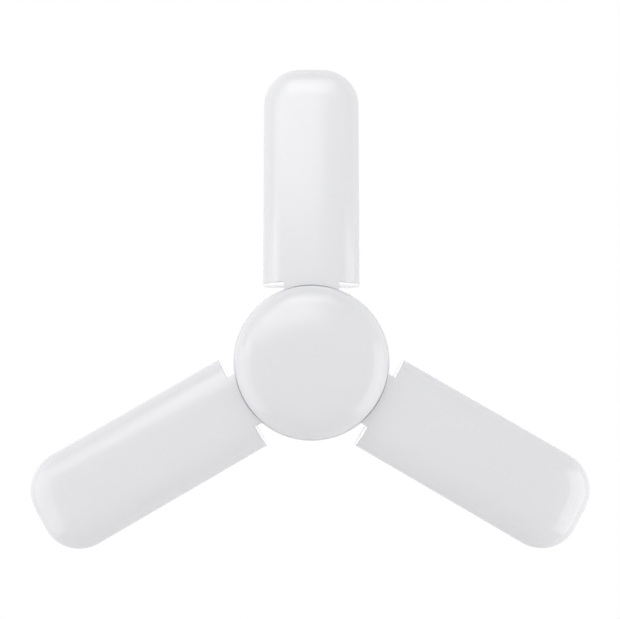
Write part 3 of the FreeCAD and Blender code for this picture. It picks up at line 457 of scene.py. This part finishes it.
def crown(share, sharpness):
    """Depth of a crowned cover, from 1 at its middle to 0 at its rim.

    It is the root of 1 - share^sharpness."""
    return np.sqrt(np.clip(1 - share ** sharpness, 0, 1))


def shares(steps, sharpness):
    """Shares of the way from the middle to the rim, closer together as the crown steepens."""
    angle = np.pi / 2 * np.linspace(0, 1, steps + 1) ** (sharpness / 2)
    return np.clip(np.sin(angle), 0, 1) ** (2 / sharpness)


# ---- covers ----------------------------------------------------------------------------------

APRON_SHARE = APRON_HALF_WIDTH / LEAF_HALF_WIDTH
ACROSS = shares(LEAF_ACROSS_STEPS, LEAF_SHARPNESS)
ACROSS[abs(ACROSS - APRON_SHARE).argmin()] = APRON_SHARE
ROUND = np.array([0.0, 0.3, 0.7, 1.0])[:, None] * np.pi / 2     # angles of a round edge's rows


def leaf_rim(inset, z):
    """Closed loop of a leaf's plan drawn in by an inset, from the middle of its inner end.

    Half of the inner end, a side, a quarter circle and half of the outer end, then the same
    mirrored."""
    low, high = LEAF_START + inset, LEAF_END - inset
    half, corner = LEAF_HALF_WIDTH - inset, LEAF_CORNER - inset
    along = np.concatenate([
        low + COVER_EDGE * (1 - np.sin(ROUND[2::-1, 0])), [low + COVER_EDGE + HOLD],
        np.linspace(low, high - corner, SIDE_STEPS + 1)[1:-1],
    ])
    inner = np.stack([np.full(ACROSS.size, low), -half * ACROSS], 1)
    side = np.stack([along, np.full(along.size, -half)], 1)
    bend = arc(high - corner, corner - half, corner, -90, 0, BEND_STEPS)
    tip_y = (corner - half) * np.linspace(1, 0, TIP_STEPS + 1)[1:]
    tip = np.stack([np.full(TIP_STEPS, high), tip_y], 1)
    one_side = np.concatenate([inner, side, bend, tip])
    loop = np.concatenate([one_side, one_side[-2:0:-1] * (1, -1)])
    return np.column_stack([loop, np.full(len(loop), z)])


def leaf_crown(inset, z, depth):
    """Crowned face inside a rim: each rim point is joined to the nearest point of a straight
    spine, and the depth follows the crown curve along that line."""
    loop = leaf_rim(inset, z)
    first = ACROSS.size + ROUND.size - 2        # the loop's first point past the end's round edge
    path = loop[first:len(loop) - first + 1]
    spine = np.stack([np.minimum(path[:, 0], LEAF_SPINE_END), np.zeros(len(path))], 1)
    share, height = ACROSS[:, None], depth * crown(ACROSS, LEAF_SHARPNESS)
    plan = spine + share[..., None] * (path[:, :2] - spine)
    return grid(np.dstack([plan, np.broadcast_to(z - height[:, None], plan.shape[:2])]))


def leaf_end(inset, z, depth, top_z, apron=False):
    """Inner end of a crowned face: a round edge, then an upright wall up to the parting plane.

    An apron runs in between its two sides to a lip round the lamp's axis, steps back to a hollow,
    rises to its top and comes back to the wall.  Its sides are the faces between two columns at
    one place across."""
    half, start = LEAF_HALF_WIDTH - inset, LEAF_START + inset
    y = half * np.concatenate([-ACROSS[::-1], ACROSS[1:]])
    if apron:
        y = np.sort(np.append(y, (-APRON_HALF_WIDTH, APRON_HALF_WIDTH)))
    wall = np.full(y.size, start)
    in_apron = np.zeros(y.size, bool)
    if apron:
        first = np.searchsorted(y, TOUCH - APRON_HALF_WIDTH) - 1
        last = np.searchsorted(y, APRON_HALF_WIDTH - TOUCH) + 1
        in_apron[first:last] = True

    def reach(radius):
        return np.where(in_apron, np.sqrt(np.maximum(radius ** 2 - y ** 2, 0)), wall)

    foot, lip, hollow = reach(APRON_LIP_R), reach(APRON_LIP_R + APRON_LIP_DRAFT), reach(APRON_R)
    edge = np.where(in_apron, APRON_EDGE, COVER_EDGE)
    fall = depth * crown(abs(y) / half, LEAF_SHARPNESS)
    ease = np.minimum(edge, 0.5 * fall)
    edge_x, edge_z = foot + edge * (1 - np.sin(ROUND)), z - fall + ease * (1 - np.cos(ROUND))
    hold_z = np.minimum(edge_z[-1] + HOLD, z)
    lip_z = np.maximum(hold_z, min(APRON_LIP_TOP_Z, top_z))
    top = np.maximum(lip_z, top_z)
    rows_x = np.vstack([wall + COVER_EDGE, edge_x, foot, lip, hollow, hollow, wall, wall])
    rows_z = np.vstack([z - fall, edge_z, hold_z, lip_z, lip_z, top, top, np.full(y.size, z)])
    return grid(np.dstack(np.broadcast_arrays(rows_x, y, rows_z)))


def leaf_cover(number, degrees):
    """Opal cover of a leaf: crown with its apron, ledge, upright notched lip and hollow."""
    ledge_z = PARTING_Z - COVER_WALL
    rings = [
        leaf_rim(inset, z) for inset, z in (
            (0, PARTING_Z), (LIP_OUT, PARTING_Z), (LIP_OUT, PARTING_Z + LIP_HEIGHT),
            (LIP_IN, PARTING_Z + LIP_HEIGHT), (LIP_IN, ledge_z),
        )
    ]
    for ring in rings[2:4]:
        notch = (ring[:, 0] < LEAF_START + LIP_IN + TOUCH) & (abs(ring[:, 1]) < LIP_NOTCH)
        ring[notch, 2] = PARTING_Z + LIP_NOTCH_FLOOR
    outside = (0, PARTING_Z, COVER_DEPTH)
    hollow = (LIP_IN, ledge_z, COVER_DEPTH - 2 * COVER_WALL)
    grids = [
        grid(np.stack(rings), close_columns=True),
        leaf_crown(*outside), leaf_end(*outside, APRON_TOP_Z, apron=True),
        leaf_crown(*hollow), leaf_end(*hollow, ledge_z - HOLLOW_HOLD),
    ]
    grids = [(turned(points, degrees), quads) for points, quads in grids]
    name = f"leaf_{number}"
    new_piece(f"{name}_opal", grids, "opal_cover", name, [f"{name}_cover"])


def hub_cover():
    """Round opal cover: the crown curve turned about the axis, with its wall and lip."""
    share = shares(HUB_ACROSS_STEPS, HUB_SHARPNESS)
    outer = np.stack([
        HUB_COVER_R * share, HUB_RIM_Z - HUB_COVER_DEPTH * crown(share, HUB_SHARPNESS)
    ], 1)
    ledge_z = HUB_RIM_Z - COVER_WALL
    lip = [
        (HUB_LIP_OUT, HUB_RIM_Z), (HUB_LIP_OUT, HUB_RIM_Z + LIP_HEIGHT),
        (HUB_LIP_IN, HUB_RIM_Z + LIP_HEIGHT), (HUB_LIP_IN, ledge_z),
    ]
    depth = HUB_COVER_DEPTH - 2 * COVER_WALL
    inner = np.stack([HUB_LIP_IN * share, ledge_z - depth * crown(share, HUB_SHARPNESS)], 1)
    surface = revolved(np.concatenate([outer, lip, inner[-2::-1]]), TURN_STEPS)
    new_piece("hub_opal", [surface], "opal_cover", "hub", ["hub_cover"])


# ---- screw cap -------------------------------------------------------------------------------

def smooth_step(x, low, high):
    """0 up to low, 1 from high on, and an S-shaped rise between them."""
    t = np.clip((x - low) / (high - low), 0, 1)
    return t * t * (3 - 2 * t)


def thread_wall(inset, z, angle):
    """Radius of the pressed shell: full at its plain ends, and between them less a cosine groove
    that climbs one pitch a turn, with staking dimples above the foot."""
    groove = 0.5 - 0.5 * np.cos(2 * np.pi * z / THREAD_PITCH - angle - THREAD_START)
    fade = smooth_step(z, *THREAD_RUN_IN) * (1 - smooth_step(z, *THREAD_RUN_OUT))
    apart = 2 * np.pi / DIMPLES
    beside = (np.mod(angle + apart / 2, apart) - apart / 2) * THREAD_R
    dimple = np.exp(-((beside / DIMPLE_R) ** 2 + ((z - DIMPLE_Z) / DIMPLE_R) ** 2))
    return THREAD_R - inset - THREAD_DEPTH * groove * fade - DIMPLE_DEPTH * dimple


def cap_shell():
    """Screw shell: thread, round shoulder and mouth, then the same a sheet's thickness inside."""
    angle = full_turn(TURN_STEPS)
    z = np.linspace(0, SHELL_LENGTH, SHELL_RINGS)[:, None]
    top_z, bend_r = SHELL_LENGTH + SHELL_SHOULDER, THREAD_R - SHELL_SHOULDER

    def layer(inset):
        radius = thread_wall(inset, z, angle)
        side = np.dstack(np.broadcast_arrays(radius * np.cos(angle), radius * np.sin(angle), z))
        shoulder = arc(bend_r, SHELL_LENGTH, SHELL_SHOULDER - inset, 0, 90, steps=8)[1:]
        rest = np.concatenate([shoulder, [(SHELL_MOUTH, top_z - inset)]])
        return np.concatenate([side, revolved(rest, angle.size)[0].reshape(-1, angle.size, 3)])

    shell = np.concatenate([layer(0), layer(SHELL_SHEET)[::-1]])
    grids = [grid(shell, close_rows=True, close_columns=True)]
    new_piece("cap_thread", grids, "plated_cap", "hub", ["cap_shell"])


def cap_insulator():
    """Black insulator: a low cone with a rounded foot and a raised ring round the contact."""
    foot_z = SHELL_LENGTH + SHELL_SHOULDER
    foot_r, top_r = INSULATOR_FOOT_ROUND, INSULATOR_TOP_ROUND
    profile = np.concatenate([
        [(PLUG_R, foot_z), (INSULATOR_BASE, foot_z)],
        arc(INSULATOR_BASE - foot_r, foot_z + foot_r, foot_r, 0, 55, steps=5),
        [(radius, foot_z + rise) for radius, rise in INSULATOR_FLANK],
        INSULATOR_RING,
        arc(INSULATOR_TOP, INSULATOR_TOP_Z - top_r, top_r, 40, 90, steps=4),
        [(STEM_BORE, INSULATOR_TOP_Z), (STEM_BORE, PLUG_Z), (PLUG_R, PLUG_Z)],
    ])
    surface = revolved(np.concatenate([profile, profile[:1]]), INSULATOR_STEPS)
    new_piece("cap_glass", [surface], "black_insulator", "hub", ["cap_insulator"])


def cap_contact():
    """Centre contact: a pressed disc with a rolled edge and a shallow ring, on its stem."""
    low_z, top_z, centre_r = INSULATOR_TOP_Z, CONTACT_TOP_Z, CONTACT_R - CONTACT_ROLL
    ring_z = (top_z, top_z - CONTACT_RING_DEPTH, top_z - CONTACT_RING_DEPTH, top_z)
    profile = np.concatenate([
        [(0, STEM_Z), (STEM_R, STEM_Z), (STEM_R, low_z), (CONTACT_FOOT_R, low_z)],
        arc(centre_r, low_z + CONTACT_FOOT_RISE, CONTACT_ROLL, -45, 0, steps=4),
        arc(centre_r, top_z - CONTACT_ROLL, CONTACT_ROLL, 0, 90, steps=8),
        list(zip(CONTACT_RING, ring_z)),
        [(0, top_z)],
    ])
    surface = revolved(profile, CONTACT_STEPS)
    new_piece("cap_button", [surface], "contact_metal", "hub", ["cap_contact"])


# ---- leads -----------------------------------------------------------------------------------

def along_curve(points, steps):
    """Centreline of a smooth curve held near a few points, with its directions.

    Each point pulls the line by a cubic bell weight, and repeating the two ends holds them."""
    held = np.concatenate([points[:1], points[:1], points, points[-1:], points[-1:]])
    t = np.linspace(0, len(held) - 3 - 1e-9, steps)     # ends just inside the last stretch
    first, u = t.astype(int)[:, None], (t % 1)[:, None]
    bells = [(1 - u) ** 3, 3 * u ** 3 - 6 * u ** 2 + 4, 3 * u * (1 + u - u ** 2) + 1, u ** 3]
    line = sum(held[(first + k).ravel()] * bell / 6 for k, bell in enumerate(bells))
    heading = np.gradient(line, axis=0)
    return line, heading / np.linalg.norm(heading, axis=1, keepdims=True)


def lead(y):
    """A round lead along the route at one distance beside it, closed to a point at each end."""
    points = np.array([(x, y, z) for x, z in LEAD_ROUTE])
    line, heading = along_curve(points, LEAD_RINGS)
    beside = np.array([0.0, 1.0, 0.0])
    above = np.cross(heading, beside)
    angle = full_turn(LEAD_SIDES)[None, :, None]
    ring = np.cos(angle) * beside + np.sin(angle) * above[:, None, :]
    swell = np.ones(LEAD_RINGS)
    swell[[0, -1]], swell[[1, -2]] = 0.0, LEAD_SHOULDER
    body = line[:, None, :] + ring * LEAD_R * swell[:, None, None]
    return grid(body, close_columns=True)


def leaf_leads(number, degrees):
    """Two insulated leads from a leaf's board, through the hinge, to the hub's board."""
    for side, y in (("a", -LEAD_Y), ("b", LEAD_Y)):
        surface, quads = lead(y)
        piece = new_piece(
            f"leaf_{number}_lead_{side}", [(turned(surface, degrees), quads)], "lead_insulation",
            stands_for=[f"leaf_{number}_leads"],
        )
        reach = (HINGE_R - LEAD_BEND, HINGE_R + LEAD_BEND)
        start, end = (turned(np.array([x, 0, HINGE_Z]), degrees) * MM for x in reach)
        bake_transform(piece)


# ---- pieces ----------------------------------------------------------------------------------

for number, degrees in enumerate(LEAF_ANGLES, 1):
    leaf_cover(number, degrees)
    leaf_leads(number, degrees)
hub_cover()
cap_shell()
cap_insulator()
cap_contact()

for part in frame["record"]["subparts"]:
    mesh = nodes[part["node"]].data
    mesh.materials.clear()
    mesh.materials.append(FINISHES[part["material_slot"]])


# ---- studio ----------------------------------------------------------------------------------

CAMERA_PLACE = (4.11, -17.03, -389.32)
CAMERA_AXES = (                 # right, up and backwards
    (-0.99994, 0.00055, -0.01103), (0.00182, 0.9933, -0.11557), (0.01089, -0.11558, -0.99324),
)
SENSOR_WIDTH, LENS = 36.0, 48.39
NEAREST, FARTHEST = 0.01, 50.0  # metres, as all below

AMBIENT = 0.42                  # the world as light, where 1 is what the camera sees
FLOOR_Z, FLOOR_REACH = -0.78, 30.0

SKIES = {                       # the side it is on, degrees across and strength
    "sky": ((0.35, 0.35, 1.0), 64, 1.1),
    "sky_sheen": ((0.0, 0.0, 1.0), 36, 0.17),
}
KEY = ((0.16, 0.46, -0.52), (0.08, 0.30, -0.07), (0.6, 0.5))
SOFT_BOXES = {                  # place, the point it faces, size, power and turn
    "key": (*KEY, 0.35, 1.0),
    "key_sheen": (*KEY, 6.2, 1.0),
    "front": ((0.0, 0.38, -0.28), (0.0, 0.10, -0.07), (0.3, 0.2), 0.28),
    "front_left": ((0.33, 0.2, -0.30), (0.0, 0.05, -0.07), (0.3, 0.2), 0.24),
    "left": ((0.55, -0.15, -0.25), (0.05, -0.03, -0.07), (0.7, 0.45), 1.15),
    "right": ((-0.55, -0.15, -0.25), (-0.05, -0.03, -0.07), (0.7, 0.45), 1.65),
    "back": ((0.0, -0.55, -0.2), (0.0, -0.03, -0.07), (0.7, 0.4), 0.27),
}
NOT_IN_GLOSS = ("sky", "key")
ONLY_IN_GLOSS = ("sky_sheen", "key_sheen")


def camera():
    """Camera below the lamp, at the photograph's distance and angle."""
    data = bpy.data.cameras.new("camera")
    data.sensor_width, data.lens = SENSOR_WIDTH, LENS
    data.clip_start, data.clip_end = NEAREST, FARTHEST
    made = in_scene("camera", data)
    turn = Matrix(CAMERA_AXES).transposed().to_4x4()
    made.matrix_world = Matrix.Translation(Vector(CAMERA_PLACE) * MM) @ turn
    bpy.context.scene.camera = made


def facing(direction):
    """Turn that points a lamp along a direction."""
    return Vector(direction).to_track_quat("-Z", "Y").to_matrix().to_4x4()


def soft_box(name, place, aim, size, power, turn=0.0):
    """A rectangular area lamp that faces a point, turned about that line."""
    data = bpy.data.lights.new(name, "AREA")
    data.shape = "RECTANGLE"
    data.size, data.size_y = size
    data.energy = power
    made = in_scene(name, data)
    about = Matrix.Rotation(turn, 4, "Z")
    made.matrix_world = Matrix.Translation(place) @ facing(Vector(aim) - Vector(place)) @ about
    return made


def sky(name, side, degrees, strength):
    """A far round light on one side, so many degrees across."""
    data = bpy.data.lights.new(name, "SUN")
    data.energy, data.angle = strength, math.radians(degrees)
    made = in_scene(name, data)
    made.matrix_world = facing(-Vector(side))
    return made


def surroundings(ambient):
    """White to the camera and in reflections, and dimmer as light on the lamp."""
    world = bpy.data.worlds.new("studio")
    world.use_nodes = True
    bpy.context.scene.world = world
    n = Nodes(world.node_tree)
    path = n.add("LightPath")
    straight, reflected, through = (
        n.value(path, f"Is {kind} Ray") for kind in ("Camera", "Glossy", "Transmission")
    )
    seen = straight.math("ADD", straight, reflected + through, clamp=True)
    strength = ambient + (1 - ambient) * seen
    shader = n.add("Background", {}, {"Color": (1.0, 1.0, 1.0, 1.0), "Strength": strength})
    n.add("OutputWorld", {}, {"Surface": shader.outputs["Background"]})


def floor(z, reach):
    """Pale floor under the hanging lamp."""
    made, n = material("pale_floor")
    patch = n.noise(n.place(), scale=3.0)
    n.finish(Base_Color=n.mix(patch, (0.64, 0.64, 0.64), (0.66, 0.66, 0.66)), Roughness=0.8)
    mesh = bpy.data.meshes.new("floor")
    corners = [(-reach, -reach, z), (reach, -reach, z), (reach, reach, z), (-reach, reach, z)]
    mesh.from_pydata(corners, [], [(0, 1, 2, 3)])
    mesh.materials.append(made)
    in_scene("floor", mesh)


camera()
surroundings(AMBIENT)
floor(FLOOR_Z, FLOOR_REACH)
lamps = {name: sky(name, *row) for name, row in SKIES.items()}
lamps.update({name: soft_box(name, *row) for name, row in SOFT_BOXES.items()})
for name in NOT_IN_GLOSS:
    lamps[name].visible_glossy = False
for name in ONLY_IN_GLOSS:
    lamps[name].visible_diffuse = False
bpy.context.scene.view_settings.view_transform = "Standard"
